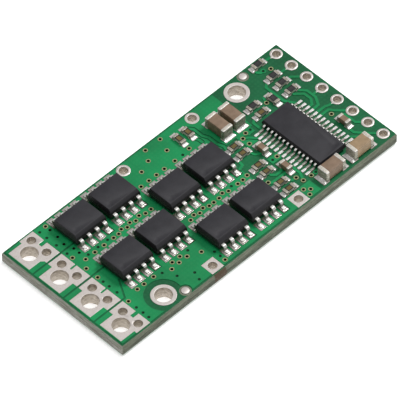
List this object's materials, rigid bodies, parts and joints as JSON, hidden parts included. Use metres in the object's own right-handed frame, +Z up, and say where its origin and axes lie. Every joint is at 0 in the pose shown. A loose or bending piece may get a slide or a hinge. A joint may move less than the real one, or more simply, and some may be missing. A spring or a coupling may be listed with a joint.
{
  "type": "dc motor driver module",
  "caption": "Flat green circuit board with moulded power transistors, a driver chip, ceramic capacitors, large power pads at one end and a header hole row at the other.",
  "frame": {"origin": "centre of the board's outline, at the height of the bottom pads' lowest face", "axes": "+X along the board towards the header row, +Y across it, +Z up out of the component side"},
  "size_m": [0.0458, 0.0204, 0.0034],
  "materials": {
    "laminate": "sawn glass-fibre edge",
    "copper_foil": "bare foil under the mask",
    "solder_mask": "green, semi-gloss",
    "tinned_pad": "tin, slightly rough",
    "moulding": "fine matt mould texture",
    "leads": "plated, bright",
    "solder": "bright reflowed solder",
    "brown_ceramic": "satin",
    "light_ceramic": "satin",
    "end_metal": "tinned, soft sheen",
    "alumina": "white, matt",
    "tan_film": "glassy film with a dark frame",
    "black_film": "glassy black film"
  },
  "bodies": {
    "root": {"laminate": "laminate", "top_copper": "copper_foil", "bottom_copper": "copper_foil", "top_mask": "solder_mask", "bottom_mask": "solder_mask", "power_pad_1": "tinned_pad", "power_pad_2": "tinned_pad", "power_pad_3": "tinned_pad", "power_pad_4": "tinned_pad", "header_pads": "tinned_pad", "mounting_rings": "tinned_pad", "capacitor_pads": "tinned_pad", "vias": "tinned_pad", "fiducials": "tinned_pad", "transistor_lands": "tinned_pad", "driver_lands": "tinned_pad", "chip_lands": "tinned_pad", "transistor_1": "moulding", "transistor_2": "moulding", "transistor_3": "moulding", "transistor_4": "moulding", "transistor_5": "moulding", "transistor_6": "moulding", "transistor_7": "moulding", "transistor_8": "moulding", "transistor_1_leads": "leads", "transistor_2_leads": "leads", "transistor_3_leads": "leads", "transistor_4_leads": "leads", "transistor_5_leads": "leads", "transistor_6_leads": "leads", "transistor_7_leads": "leads", "transistor_8_leads": "leads", "transistor_solder": "solder", "driver_chip": "moulding", "driver_chip_leads": "leads", "driver_solder": "solder", "bulk_capacitor_1": "brown_ceramic", "bulk_capacitor_2": "brown_ceramic", "bulk_capacitor_3": "brown_ceramic", "bulk_capacitor_4": "light_ceramic", "bulk_capacitor_ends": "end_metal", "bypass_capacitors": "brown_ceramic", "bypass_capacitor_ends": "end_metal", "gate_resistors": "alumina", "gate_resistor_film": "tan_film", "gate_resistor_ends": "end_metal", "signal_resistors": "alumina", "signal_resistor_film": "black_film", "signal_resistor_ends": "end_metal", "chip_solder": "solder"}
  },
  "joints": []
}
